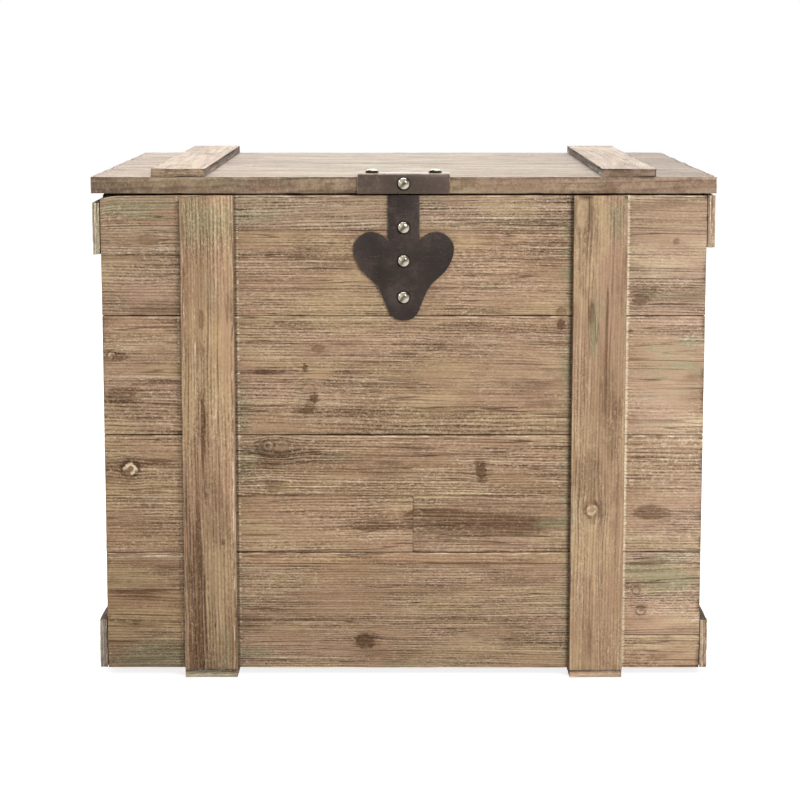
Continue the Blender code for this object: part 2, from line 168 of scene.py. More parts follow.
def makeFir(name, look):
    fir = Finish(bpy.data.materials.new(name), look, "brown")
    along, phase, seed = fir.attribute("grain")
    knotX, knotY, knotKind = fir.attribute("knotAt")
    seam, moss, shade = fir.attribute("wear")
    light, warm, contrast = fir.attribute("tone")
    mottle, dirt, pale = fir.attribute("marks")

    def streaks(alongScale, ringScale, shift, detail, roughness):
        spot = fir.vector(along * alongScale, phase * ringScale, seed + shift)
        return fir.noise(spot, 1, detail, roughness)

    # growth rings: thin ruled lines, uneven in width and strength
    waver = streaks(22, 0.5, 0, 2, 0.5)
    wavy = phase + (waver - 0.5) * 1.1
    ring = wavy.maths("FRACT")
    ringSpot = fir.vector(wavy.maths("FLOOR"), seed, 0)
    ringForce = fir.add("TexWhiteNoise", {"noise_dimensions": "2D"}, {0: ringSpot})
    valley = fir.ramp(ring, [(0, 0.9), (0.06, 1), (0.2, 0.25), (0.32, 0), (0.9, 0), (1, 0.9)])
    ridge = fir.ramp(ring, [(0, 0), (0.2, 0), (0.38, 1), (0.62, 0.5), (0.86, 0), (1, 0)])
    valley = valley * (ringForce * 0.7 + 0.3)
    ridge = ridge * (1.15 - ringForce)

    # irregular lines between them, and a few long thin dark ones
    lines = streaks(11, 0.95, 2.7, 5, 0.75)
    lineDark = fir.rise(lines, 0.47, 0.36)
    lineLight = fir.rise(lines, 0.53, 0.64)
    contour = (streaks(3, 0.34, 5.9, 2, 0.55) - 0.5).maths("ABSOLUTE")
    hair = fir.rise(contour, 0.011, 0.003) * fir.rise(streaks(14, 0.5, 8.8, 2, 0.5), 0.36, 0.56)

    # fibres: short dashes along the grain, and a fine sparkle
    fibre = streaks(230, 1.5, 0, 3, 0.75)
    fleck = streaks(500, 1.9, 4.4, 2, 0.7)
    dashLight = fir.rise(fibre, 0.53, 0.65)
    dashDark = fir.rise(fibre, 0.47, 0.35)
    sparkle = fir.rise(fleck, 0.55, 0.68)
    speck = fir.rise(fleck, 0.45, 0.33)

    # soft stains, longer along the grain
    broad = streaks(6, 0.05, 1, 4, 0.6)
    patch = streaks(15, 0.14, 7.3, 4, 0.62)
    tint = streaks(10, 0.075, 3.1, 3, 0.55)
    fade = streaks(12, 0.12, 13.7, 3, 0.6)
    smoothPatch = fir.rise(shade, -0.1, -0.8)
    darkPatch = fir.rise(shade, 0.1, 0.8)
    fir.coat(fir.rise(broad, 0.4, 0.6), "pinkish")
    fir.coat(fir.rise(tint, 0.48, 0.64) * 0.8, "straw")
    stained = fir.rise(patch, 0.5, 0.68) * 0.66 * look["stain"]
    fir.coat(stained + darkPatch * 0.2, "darkBrown")
    tongue = fir.rise(streaks(10, 0.5, 20, 3, 0.6) + darkPatch * 0.34, 0.6, 0.7)
    tongue = tongue * fir.rise(darkPatch, 0.05, 0.35)
    fir.coat(tongue * 0.86, "streak")
    mossPatch = streaks(24, 0.24, 11, 4, 0.65)
    mossMask = fir.rise(mossPatch + moss * 0.3, 0.6, 0.88) * look["stain"]
    fir.coat(mossMask * 0.72, "greyGreen")
    zone = (fir.rise(fade, 0.34, 0.62) * 0.7 + 0.4) * contrast * (1 - smoothPatch * 0.75)

    # knots: a dark plug, or a pale one in a dark ring, both with ragged edges
    amount = knotKind.maths("ABSOLUTE")
    there = fir.rise(amount, 0.05, 0.1)
    plug = fir.rise(knotKind, 0.05, 0.1)
    warp = fir.noise(fir.vector(knotX * 1.3, knotY * 1.3, seed), 1, 4, 0.7)
    knotRadius = (knotX * knotX + knotY * knotY).maths("SQRT") + (warp - 0.5) * (plug * 1.5 + 0.9)
    knotBody = fir.rise(knotRadius, 1.25, 0.7) * there
    arc = fir.rise(fir.noise(fir.vector(knotX * 0.9, knotY * 0.9, seed + 5), 1, 3, 0.6), 0.38, 0.56)
    rim = fir.rise((knotRadius - 1.1).maths("ABSOLUTE"), 0.42, 0.1) * there * (arc * 0.8 + 0.2)
    paleRing = fir.rise((knotRadius - 0.62).maths("ABSOLUTE"), 0.3, 0.1) * there * (1 - plug) * arc
    halo = fir.rise(knotRadius + (lines - 0.5) * 3, 2.7, 0.9) * there
    knotRings = (knotRadius * 11 + fibre * 5).maths("SINE") * 0.5 + 0.5
    core = fir.rise(knotRadius, 0.5, 0.1) * there
    clear = 1 - knotBody

    fir.coat(halo * amount * clear * (plug * 0.2 + 0.6), "streak")
    dark = valley * 0.76 + lineDark * 0.52 + dashDark * 0.4 + speck * 0.42 + darkPatch * lineDark * 0.5
    bright = (ridge * 0.38 + lineLight * 0.42 + dashLight * 0.36 + sparkle * 0.5) * (1 - darkPatch * 0.4)
    fir.coat(dark * zone * (clear * 0.6 + 0.4), "valleyDark")
    fir.coat(bright * zone * (clear * 0.7 + 0.3), "ridgeLight")
    fir.coat(hair * contrast * 0.8, "valleyDark")
    fir.coat(knotBody * amount * (plug * 0.72 + 0.14), "knotRed")
    fir.coat(knotBody * amount * knotRings * (plug * 0.55 + 0.12), "knotDark")
    fir.coat(rim * amount * 0.8, "knotDark")
    fir.coat(core * plug * amount * 0.6, "knotDark")
    fir.coat(paleRing * amount * amount * 0.72, "rubbed")

    # joints between glued strips
    crack = fir.rise(seam, 0.62, 0.12) * fir.rise(streaks(20, 0, 15, 3, 0.6), 0.3, 0.56)
    fir.coat(crack * 0.72, "valleyDark")

    # mottled ends and edges, each strip's own tone with painted light and shade in it, pale strips that
    # are partly painted highlight and partly rubbed wear, and painted shade in corners and under the lid
    spot = fir.here()
    blotch = fir.noise(spot, 95, 4, 0.68)
    grit = fir.noise(spot, 640, 2, 0.65)
    for cloud, low, high, force, shade in (
        (blotch, 0.48, 0.64, 0.6, "darkBrown"), (blotch, 0.46, 0.32, 0.16, "ridgeLight"),
        (grit, 0.56, 0.7, 0.18, "ridgeLight"), (grit, 0.44, 0.32, 0.22, "valleyDark"),
    ):
        fir.coat(mottle * fir.rise(cloud, low, high) * force, shade)
    # the tone multiplies in each strip's lightness and warmth, and painted light and shade: soft lighter
    # and darker patches, lightest toward the right where the light falls, and darker batten sides
    shades = {0: light * (1 + warm * 0.06), 1: light, 2: light * (1 - warm * 0.1)}
    fir.coat(1, fir.add("CombineColor", {}, shades), "MULTIPLY")
    teeth = streaks(70, 2, 31, 2, 0.6)
    # pale strips with ragged edges, partly painted highlight along each front board's top edge and beside
    # the battens, and partly rubbed wear
    rubbed = fir.rise(pale + (teeth - 0.5) * 2.2, 0.3, 0.9) * fir.rise(pale, 0.06, 0.3)
    fir.coat(rubbed * (fir.rise(grit, 0.36, 0.58) * 0.25 + 0.72), "rubbed")
    # painted shade, near black: on faces turned up under the lid, at the side boards' front top corner
    # and in thin strips beside the front battens
    fir.coat(dirt * (fir.rise(grit, 0.62, 0.42) * 0.35 + 0.65), "dirt")

    height = bright * zone * 0.7 - dark * zone * 0.7 - hair * 0.8
    height = height - crack * 1.2 - rim * 0.8 + grit * mottle * 0.5
    return fir.surface({
        "Roughness": look["roughness"] + (fibre - 0.5) * 0.25 - ridge * 0.1,
        "Normal": fir.bump(height, look["bumpHeight"], 0.8),
        "Specular IOR Level": look["shine"],
    })


ironLook = {
    "heart": {
        "base": (43, 36, 32), "tinge": (57, 47, 44), "worn": (88, 74, 66),
        "edge": (120, 106, 92), "pit": (28, 24, 22), "roughness": 0.48, "metallic": 0.75,
    },
    "bracket": {
        "base": (72, 62, 55), "tinge": (82, 68, 62), "worn": (126, 110, 94),
        "edge": (178, 163, 144), "pit": (40, 33, 29), "roughness": 0.46, "metallic": 0.8,
    },
}


def makeIron(name, look):
    iron = Finish(bpy.data.materials.new(name), look, "base")
    spot = iron.here()
    rim, top, _ = iron.attribute("rim")
    cloud = iron.noise(spot, 34, 4, 0.6)
    rust = iron.noise(spot, 17, 3, 0.6)
    fine = iron.noise(spot, 330, 3, 0.65)
    specks = iron.noise(spot, 780, 1, 0.5)
    dents = iron.noise(spot, 70, 2, 0.5)
    stretch = {"Vector": spot, "Rotation": (0, 0.6, 0), "Scale": (70, 70, 1100)}
    turned = iron.add("Mapping", {}, stretch)
    scratch = iron.noise(turned, 1, 2, 0.6)
    iron.coat(iron.rise(rust, 0.4, 0.6), "tinge")
    iron.coat(iron.rise(cloud * 0.7 + fine * 0.3, 0.5, 0.64) * 0.32, "worn")
    iron.coat(iron.rise(scratch, 0.64, 0.73) * 0.5, "worn")
    iron.coat(iron.rise(specks, 0.7, 0.76) * 0.6, "worn")
    pits = iron.rise(specks, 0.3, 0.24)
    iron.coat(pits * 0.85, "pit")
    # lighter edges: worn paint, and a painted highlight where the edges catch the light
    iron.coat(rim * iron.rise(fine, 0.34, 0.58) * 0.8, "edge")
    # the bracket's top flange lighter: a painted reflection of the bright space above, with some wear
    iron.coat(top * (iron.rise(fine, 0.36, 0.62) * 0.4 + 0.1), "worn")
    return iron.surface({
        "Metallic": look["metallic"],
        "Roughness": look["roughness"] + (cloud - 0.5) * 0.3 + pits * 0.15,
        "Normal": iron.bump(dents * 0.8 + fine * 0.14 - pits * 0.2, 0.0006, 0.7),
    })


# the darkest colours here are painted: a painted reflection in a band across the crown, and painted shade
# round the rim, with a little dirt
nailLook = {
    "bright": (180, 173, 158), "tarnish": (54, 46, 36), "dirt": (24, 20, 16),
    "roughness": 0.13,
}


def makeNailSteel(name, look):
    steel = Finish(bpy.data.materials.new(name), look, "bright")
    spot = steel.here()
    rim, reflectedBand, _ = steel.attribute("rim")
    blotch = steel.noise(spot, 330, 3, 0.6)
    fine = steel.noise(spot, 1200, 2, 0.5)
    # painted shade round the rim, mottled, with a little dirt
    dirt = steel.rise(rim + (blotch - 0.5) * 0.3, 0.3, 0.85)
    # a painted dark reflection in a slanting band across the crown
    dull = reflectedBand * (steel.rise(blotch, 0.3, 0.55) * 0.35 + 0.55)
    steel.coat(dull, "tarnish")
    steel.coat(dirt * 0.95, "dirt")
    return steel.surface({
        "Metallic": 1,
        "Roughness": look["roughness"] + dirt * 0.45 + (blotch - 0.5) * 0.12,
        "Normal": steel.bump(fine * 0.6 + blotch, 0.00012, 0.4),
    })


zincLook = {
    "base": (140, 136, 128), "dull": (112, 106, 97), "dirt": (58, 53, 46),
    "roughness": 0.4,
}


def makeZinc(name, look):
    zinc = Finish(bpy.data.materials.new(name), look, "base")
    spot = zinc.here()
    cloud = zinc.noise(spot, 120, 3, 0.6)
    fine = zinc.noise(spot, 900, 2, 0.5)
    zinc.coat(zinc.rise(cloud, 0.42, 0.68), "dull")
    zinc.coat(zinc.rise(fine * 0.5 + cloud * 0.5, 0.6, 0.7) * 0.4, "dirt")
    return zinc.surface({
        "Metallic": 0.9,
        "Roughness": look["roughness"] + (cloud - 0.5) * 0.3,
        "Normal": zinc.bump(fine + cloud, 0.0002, 0.4),
    })


finishes = {
    "weathered_fir": makeFir("weatheredFir", firLook),
    "plain_fir": makeFir("plainFir", plainLook),
    "lid_fir": makeFir("lidFir", lidShine),
    "dark_iron": makeIron("heartIron", ironLook["heart"]),
    "worn_iron": makeIron("bracketIron", ironLook["bracket"]),
    "polished_steel": makeNailSteel("nailSteel", nailLook),
    "zinc_steel": makeZinc("zincSteel", zincLook),
}
print("materials made")


def newObject(name, data):
    item = bpy.data.objects.new(name, data)
    bpy.context.scene.collection.objects.link(item)
    return item


def newMesh(name, form):
    mesh = bpy.data.meshes.new(name)
    form.to_mesh(mesh)
    form.free()
    return mesh


def settle(name, mesh, body, slot, nodes, finish=None):
    mesh.materials.append(finishes[finish or slot])
    piece = newObject(name, mesh)
    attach(piece, body)
    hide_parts(*nodes)
    return piece


def softNoise(points, seed):
    # a smooth random field from -1 to 1, one bump per unit, for an array of points
    cell = np.floor(points).astype(np.int64)
    part = points - cell
    part = part * part * (3 - 2 * part)
    total = np.zeros(len(points))
    for corner in np.ndindex(*(2,) * points.shape[1]):
        key = np.full(len(points), seed * 7919 + 17, dtype=np.int64)
        weight = np.ones(len(points))
        for axis, side in enumerate(corner):
            key = (key * 31337 + (cell[:, axis] + side) * 668265263) & 0xFFFFFFFF
            key = ((key ^ (key >> 15)) * 2246822519) & 0xFFFFFFFF
            weight = weight * (part[:, axis] if side else 1 - part[:, axis])
        key = ((key ^ (key >> 13)) * 3266489917) & 0xFFFFFFFF
        key = key ^ (key >> 16)
        total += weight * (key / 0xFFFFFFFF * 2 - 1)
    return total


def field(along, across, scaleAlong, scaleAcross, seed):
    return softNoise(np.stack([along * scaleAlong, across * scaleAcross], axis=1), seed)


def smooth(value, low, high):
    part = np.clip((value - low) / (high - low), 0, 1)
    return part * part * (3 - 2 * part)


boardCuts = {
    "fine": {"along": 0.0045, "across": 0.00075},
    "middle": {"along": 0.006, "across": 0.0012},
    "plain": {"along": 0.012, "across": 0.003},
    "deep": 0.003,
}
# depths in metres; seamReach in millimetres; most is a share of the board's thickness
relief = {
    "ring": 0.00016, "sway": 0.0003, "seam": 0.00028, "chip": 0.0007, "knot": 0.0003,
    "seamReach": 0.9, "chipReach": 0.0024, "most": 0.3,
}
endGrain = {"squeeze": 0.6, "sway": 0.0006, "ringWidth": 0.0018}
plainWood = {
    "slot": "weathered_fir",
    "finish": None,  # another material than the slot's own
    "detail": "middle",
    "ease": 0.0008,
    "pithAside": (0.058, 0.12),  # where the tree's heart lay, from the middle of a strip
    "pithDeep": (0.015, 0.05),
    "ringWidth": (0.0019, 0.0026),
    "light": 1, "toneSpread": 0.06, "warm": 0, "warmSpread": 0.8, "contrast": (0.8, 1.1),
    "knots": 1.4,  # knots in every half metre, where none are listed
    "edge": (0.9, 0, 0.8, 0.3),  # light, warmth, contrast and mottling of the cut faces
    "end": (0.8, 0, 0.9, 0.6),
    "chip": 1,
    # how much faces turned upward are darkened: painted shade, as under the lid
    "topShade": 0,
    "panels": None,  # (from, to, heights of the glued seams)
    "butts": (),
    "columns": (),
    "list": (),  # knots: place, size and force; a pale one is negative
    "patches": (),  # dark ones, or smooth ones where negative
    # soft marks: moss tint; glow, lighter or darker patches that are mostly painted light and shade;
    # cool, less warmth; pale strips, partly painted highlight and partly rubbed wear; near-black strips
    # of painted shade
    "moss": (), "glow": (), "cool": (), "pale": (), "dirt": (),
    "marksInFront": False,  # pale marks and painted shade on the front face only
    "tweak": None,
}


def bevel(form, edges, offset, segments):
    bmesh.ops.bevel(
        form, geom=edges, offset=offset, offset_type="OFFSET", segments=segments, profile=0.5,
        affect="EDGES", material=-1,
    )


def gridBoard(name, low, high, steps, ease, planes):
    # an eased box, cut at its joints and then into a fine grid
    form = bmesh.new()
    bmesh.ops.create_cube(form, size=1)
    bmesh.ops.scale(form, vec=high - low, verts=form.verts)
    bmesh.ops.translate(form, vec=(low + high) / 2, verts=form.verts)
    bevel(form, form.edges[:], ease, 2)
    for axis, level in planes:
        way = Matrix.Identity(3)[axis]
        parts = [*form.verts, *form.edges, *form.faces]
        bmesh.ops.bisect_plane(form, geom=parts, plane_co=way * level, plane_no=way)
    for axis in range(3):
        groups = {}
        for edge in form.edges:
            ends = [vert.co for vert in edge.verts]
            span = abs(ends[0][axis] - ends[1][axis])
            if span > 0.999 * (ends[0] - ends[1]).length:
                groups.setdefault(round(span * 1e5), []).append(edge)
        for span, edges in groups.items():
            cuts = round(span / 1e5 / steps[axis]) - 1
            if cuts > 0:
                bmesh.ops.subdivide_edges(form, edges=edges, cuts=cuts, use_grid_fill=True)
    for face in form.faces:
        face.smooth = True
    return newMesh(name, form)


def stripList(low, high, look, dice):
    # the glued strips of one board, in the order of its panels
    strips = []
    for panelStart, panelEnd, seams in look["panels"] or ((low[0], high[0], ()),):
        levels = [low[1], *sorted(seams), high[1]]
        for bottom, top in zip(levels, levels[1:]):
            joints = [x for x, z in look["butts"] if bottom < z < top and panelStart < x < panelEnd]
            ends = [max(panelStart, low[0]), *joints, min(panelEnd, high[0])]
            for start, end in zip(ends, ends[1:]):
                side = dice.choice((-1, 1))
                strips.append({
                    "start": start, "end": end, "bottom": bottom, "top": top,
                    "glued": bottom > low[1], "butted": start in joints,
                    "seed": dice.uniform(0, 90),
                    "pith": (bottom + top) / 2 + side * dice.uniform(*look["pithAside"]),
                    "pithDeep": dice.uniform(*look["pithDeep"]),
                    "slope": dice.uniform(-0.02, 0.02),
                    "ring": dice.uniform(*look["ringWidth"]),
                    "light": look["light"] * (1 + dice.uniform(-1, 1) * look["toneSpread"]),
                    "warm": look["warm"] + dice.uniform(-1, 1) * look["warmSpread"],
                    "contrast": dice.uniform(*look["contrast"]),
                })
    return strips


def inStrip(strip, a, b):
    return (a >= strip["start"]) & (a <= strip["end"]) & (b >= strip["bottom"]) & (b <= strip["top"])


def jointDistance(strips, a, b):
    # how far each point lies from the nearest glued joint, in millimetres
    far = np.full(len(a), 9.0)
    for strip in strips:
        outA = np.maximum(np.maximum(strip["start"] - a, a - strip["end"]), 0)
        outB = np.maximum(np.maximum(strip["bottom"] - b, b - strip["top"]), 0)
        if strip["glued"]:
            far = np.minimum(far, np.hypot(outA * 3, b - strip["bottom"]) * 1000)
        if strip["butted"]:
            far = np.minimum(far, np.hypot(a - strip["start"], outB * 3) * 1000)
    return far


def rings(a, b, c, strip, knots, number):
    # growth rings round the tree's heart; the grain parts round each knot
    for x, z, radiusX, radiusZ, _ in knots:
        pull = np.exp(-(((a - x) / (2.2 * radiusX)) ** 2 + ((b - z) / (1.6 * radiusZ)) ** 2))
        b = b - 0.5 * (b - z) * pull
    b = b + 0.0013 * field(a, b, 6, 18, number) + 0.0004 * field(a, b, 26, 70, number + 1)
    side = b - strip["pith"] + strip["slope"] * a
    return np.hypot(side, c + strip["pithDeep"]) / strip["ring"]


def softSpots(a, b, spots):
    # soft round or long patches, each as place, size and amount
    total = np.zeros(len(a))
    for x, z, radiusX, radiusZ, amount in spots:
        total += amount * np.exp(-(((a - x) / radiusX) ** 2 + ((b - z) / radiusZ) ** 2))
    return total


def inMetres(spots):
    return [(*(length / 1000 for length in spot[:4]), spot[4]) for spot in spots]


scatter = {
    "spread": (0.4, 1.6), "radius": (0.0022, 0.0055), "inset": (0.02, 0.008), "long": (1, 1.5),
    "force": (0.4, 0.9), "signs": (1, 1, -1),
}


def scatterKnots(low, high, look, dice):
    knots = []
    expected = look["knots"] * (high[0] - low[0]) / 0.5
    for _ in range(int(expected * dice.uniform(*scatter["spread"]) + 0.5)):
        radius = dice.uniform(*scatter["radius"])
        spot = [dice.uniform(low[i] + inset, high[i] - inset) for i, inset in enumerate(scatter["inset"])]
        reach = radius * dice.uniform(*scatter["long"])
        force = dice.uniform(*scatter["force"]) * dice.choice(scatter["signs"])
        knots.append((*spot, reach, radius, force))
    return knots


def wornAway(a, b, c, low, high, strips, knots, number, chip):
    # how deep each point of a board is worn
    phase = np.zeros(len(a))
    for strip in strips:
        inside = inStrip(strip, a, b)
        phase[inside] = rings(a[inside], b[inside], c[inside], strip, knots, number)
    ring = phase - np.floor(phase)
    force = 0.5 + 0.5 * softNoise(np.stack([np.floor(phase) + 0.5, a * 4], axis=1), number + 2)
    depth = relief["ring"] * smooth(np.abs(ring - 0.6), 0.15, 0.45) * (0.4 + force)
    depth += relief["sway"] * (0.5 + 0.5 * field(a, b, 9, 30, number + 3))
    depth += relief["seam"] * np.clip(1 - jointDistance(strips, a, b) / relief["seamReach"], 0, 1)
    edgeA, edgeB = np.minimum(a - low[0], high[0] - a), np.minimum(b - low[1], high[1] - b)
    chips = smooth(field(a, b + c, 55, 55, number + 4), 0.25, 0.8)
    chips += 0.5 * smooth(field(a, b + c, 170, 170, number + 5), 0.3, 0.8)
    inward = np.minimum(edgeA, edgeB)
    depth += relief["chip"] * chip * chips * (1 - smooth(inward, 0, relief["chipReach"]))
    for x, z, radiusX, radiusZ, _ in knots:
        away = np.hypot((a - x) / radiusX, (b - z) / radiusZ)
        depth += relief["knot"] * np.exp(-(((away - 1.05) / 0.25) ** 2))
    return depth


def readAll(parts, label, width=1, kind=float):
    values = np.empty(len(parts) * width, dtype=kind)
    parts.foreach_get(label, values)
    return values.reshape(-1, width) if width > 1 else values


def makeBoard(name, body, *looks):
    look = dict(plainWood)
    for part in looks:
        look.update(part)
    for kind in ("list", "moss", "patches", "glow", "cool", "pale", "dirt"):
        look[kind] = inMetres(look[kind])
    low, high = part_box(name)
    size = high - low
    along, across, deep = sorted(range(3), key=lambda axis: -size[axis])
    lowAB, highAB = (low[along], low[across]), (high[along], high[across])
    middle = (low[deep] + high[deep]) / 2
    dice = random.Random(name)
    number = dice.randrange(1, 10000)
    strips = stripList(lowAB, highAB, look, dice)
    knots = look["list"] or scatterKnots(lowAB, highAB, look, dice)

    cuts = boardCuts[look["detail"]]
    steps = [0, 0, 0]
    steps[along], steps[across], steps[deep] = cuts["along"], cuts["across"], boardCuts["deep"]
    planes = [(across, strip["bottom"]) for strip in strips if strip["glued"]]
    planes += [(along, strip["start"]) for strip in strips if strip["butted"]]
    planes += [(along, column) for column in look["columns"]]
    ease = min(look["ease"], size[deep] * 0.16)
    mesh = gridBoard(name + "_fir", low, high, steps, ease, sorted(set(planes)))

    # worn relief goes inwards only
    rest = readAll(mesh.vertices, "co", 3)
    normals = readAll(mesh.vertices, "normal", 3)
    a, b, c = rest[:, along], rest[:, across], rest[:, deep] - middle
    depth = wornAway(a, b, c, lowAB, highAB, strips, knots, number, look["chip"])
    spots = rest - normals * np.clip(depth, 0, size[deep] * relief["most"])[:, None]
    if look["tweak"]:
        spots = look["tweak"](spots, rest, low, high)
    mesh.vertices.foreach_set("co", spots.ravel())
    mesh.update()

    # what the shader reads, for every corner of every face
    totals = readAll(mesh.polygons, "loop_total", kind=np.int32)
    starts = readAll(mesh.polygons, "loop_start", kind=np.int32)
    facing = np.repeat(readAll(mesh.polygons, "normal", 3), totals, axis=0)
    corner = rest[readAll(mesh.loops, "vertex_index", kind=np.int32)]
    centre = np.repeat(np.add.reduceat(corner, starts, axis=0) / totals[:, None], totals, axis=0)
    a, b, c = corner[:, along], corner[:, across], corner[:, deep] - middle

    grain = np.zeros((len(corner), 3))
    tone = np.ones((len(corner), 3))
    marks = np.zeros((len(corner), 3))
    for strip in strips:
        inside = inStrip(strip, centre[:, along], centre[:, across])
        grain[inside, 0] = a[inside]
        grain[inside, 1] = rings(a[inside], b[inside], c[inside], strip, knots, number)
        grain[inside, 2] = strip["seed"]
        tone[inside] = (strip["light"], strip["warm"], strip["contrast"])
    # cut faces get their own tone; the battens' darker sides are painted shade
    for axis, part in ((across, "edge"), (along, "end")):
        turned = smooth(np.abs(facing[:, axis]), 0.45, 0.85)
        light, warm, contrast, mottle = look[part]
        tone[:, 0] *= 1 + (light - 1) * turned
        tone[:, 1] += warm * turned
        tone[:, 2] *= 1 + (contrast - 1) * turned
        marks[:, 0] += mottle * turned
    sawn = np.abs(facing[:, along]) > 0.7
    grain[sawn, 0] = b[sawn] * endGrain["squeeze"]
    sway = endGrain["sway"] * field(b[sawn], c[sawn], 60, 200, number)
    grain[sawn, 1] = (c[sawn] + sway) / endGrain["ringWidth"]
    # painted light and shade: soft lighter and darker patches in the tone
    tone[:, 0] *= 1 + softSpots(a, b, look["glow"])
    tone[:, 1] -= softSpots(a, b, look["cool"])
    marked = np.where(c < 0, 1.0, 0.0) if look["marksInFront"] else 1.0
    # painted shade: faces turned upward darkened, and the listed near-black strips
    topShade = look["topShade"] * smooth(facing[:, 2], 0.5, 0.85)
    marks[:, 1] = np.clip(topShade + softSpots(a, b, look["dirt"]) * marked, 0, 1)
    marks[:, 2] = np.clip(softSpots(a, b, look["pale"]) * marked, 0, 1)
    knotAt = np.full((len(corner), 3), 9.0)
    knotAt[:, 2] = 0
    nearest = np.full(len(corner), 6.0)
    for x, z, radiusX, radiusZ, force in knots:
        away = np.hypot((centre[:, along] - x) / radiusX, (centre[:, across] - z) / radiusZ)
        closer = away < nearest
        place = [(a - x) / radiusX, (b - z) / radiusZ, np.full(len(a), force)]
        knotAt[closer] = np.stack(place, axis=1)[closer]
        nearest = np.minimum(nearest, away)
    stains = [softSpots(a, b, look[kind]) for kind in ("moss", "patches")]
    wear = np.stack([jointDistance(strips, a, b), *stains], axis=1)
    layers = {"grain": grain, "knotAt": knotAt, "wear": wear, "tone": tone, "marks": marks}
    for label, values in layers.items():
        layer = mesh.attributes.new(label, "FLOAT_VECTOR", "CORNER")
        layer.data.foreach_set("vector", values.astype(np.float32).ravel())
    return settle(name + "_fir", mesh, body, look["slot"], [name], look["finish"])


print("front boards")
# marks and knots are in millimetres: place along and up the board, reach both ways, and strength
wallHigh = 210
battenSides = {"leftOut": -182.2, "leftIn": -137.8, "rightIn": 137.8, "rightOut": 182.2}
# painted light and shade by the front battens, the same on every front board: near-black strips are
# painted shadow that the battens cast, pale strips are painted highlight and partly rubbed wear, and soft
# patches of painted light make the right panel lightest
shadeAndLightBesideBattens = {
    "pale": (
        (battenSides["rightOut"] + 0.8, wallHigh, 1.6, 400, 0.95),
        (battenSides["leftOut"] - 2.2, wallHigh, 1, 400, 0.45),
        (battenSides["leftIn"] + 2.2, wallHigh, 1.2, 400, 0.5),
    ),
    "dirt": (
        (battenSides["rightIn"] - 0.6, wallHigh, 1.8, 400, 0.8),
        (battenSides["leftIn"] + 0.4, wallHigh, 0.9, 400, 0.8),
    ),
    "glow": (
        (0, 80, 130, 120, 0.05), (220, wallHigh, 60, 400, 0.19), (-90, 397, 50, 12, -0.12),
        (battenSides["rightOut"] + 3, wallHigh, 4, 400, 0.1),
    ),
}
frontLook = {
    "detail": "fine",
    "marksInFront": True,
    "ease": 0.0002, "chip": 0.45, "toneSpread": 0.02, "warmSpread": 0.4,
    "columns": [side / 1000 + step * 0.0008 for side in battenSides.values() for step in range(-6, 7)],
}


def frontBoard(row, top, **more):
    # every front board has painted light and shade beside the battens, and a pale line along its top edge
    # that is a painted highlight
    mossHigh = top - 50
    look = {
        "pale": (*shadeAndLightBesideBattens["pale"], (0, top - 1, 600, 0.7, 0.5), *more.pop("pale", ())),
        "dirt": (*shadeAndLightBesideBattens["dirt"], *more.pop("dirt", ())),
        "glow": (*shadeAndLightBesideBattens["glow"], *more.pop("glow", ())),
        "moss": ((133.5, mossHigh, 6, 60, 1), (-134.5, mossHigh, 4, 60, 0.5), *more.pop("moss", ())),
    }
    makeBoard(f"front_board_{row}", "box", {**frontLook, **look, **more})


wornTop = {"run": 0.087, "fall": 0.0009, "reach": 0.035}
wornEnd = {"run": 0.013, "fall": 0.0022, "curve": 1.4}
battenFoot = {"high": 0.0015, "lower": 0.0005}
battenTop = {"run": 0.024, "fall": 0.0024, "reach": 0.02}


def slant(away, shape):
    # 1 at the board's left end, 0 where the slant has run out
    return np.clip(1 - away / shape["run"], 0, 1)


def wornCorner(spots, rest, low, high):
    # the top falls a little to the left, and its corner is worn down
    away = rest[:, 0] - low[0]
    fall = slant(away, wornTop) * wornTop["fall"]
    fall += slant(away, wornEnd) ** wornEnd["curve"] * wornEnd["fall"]
    spots[:, 2] -= fall * np.clip(1 - (high[2] - rest[:, 2]) / wornTop["reach"], 0, 1)
    return spots


def pressedDown(spots, rest, low, high):
    # a batten sits tight on what lies under it
    spots[:, 2] -= np.where(rest[:, 2] < low[2] + battenFoot["high"], battenFoot["lower"], 0)
    return spots


def slantedTop(spots, rest, low, high):
    # the left batten's top falls a little to the left
    spots = pressedDown(spots, rest, low, high)
    fall = slant(rest[:, 0] - low[0], battenTop) * battenTop["fall"]
    spots[:, 2] -= fall * np.clip(1 - (high[2] - rest[:, 2]) / battenTop["reach"], 0, 1)
    return spots


frontBoard(
    4, 402, tweak=wornCorner,
    panels=((-0.3, -0.16, (0.3525, 0.3768)), (-0.16, 0.16, (0.3731,)), (0.16, 0.3, (0.3336,))),
    list=(
        (-208, 366, 6, 3.4, 0.25), (129, 306, 3, 3, 0.4), (155, 338, 4, 3, 0.4),
        (193.5, 316, 5, 3.2, 0.5), (222, 364, 1.6, 1.6, 0.4),
    ),
    moss=(
        (-225, 392, 30, 13, 1.5), (-120, 385, 30, 8, 1.2), (20, 395, 50, 8, 0.7),
        (198, 322, 20, 6, 0.9),
    ),
    patches=(
        (-213, 364, 20, 8, -0.8), (200, 324, 22, 7, 0.6), (-190, 361, 20, 4, 0.5),
        (225, 365, 50, 24, -0.7), (215, 392, 50, 10, -0.7),
    ),
    glow=((-220, 350, 50, 60, 0.09), (220, 370, 50, 50, 0.2), (90, 350, 60, 40, 0.09)),
    cool=((225, 360, 60, 90, 0.6),),
)
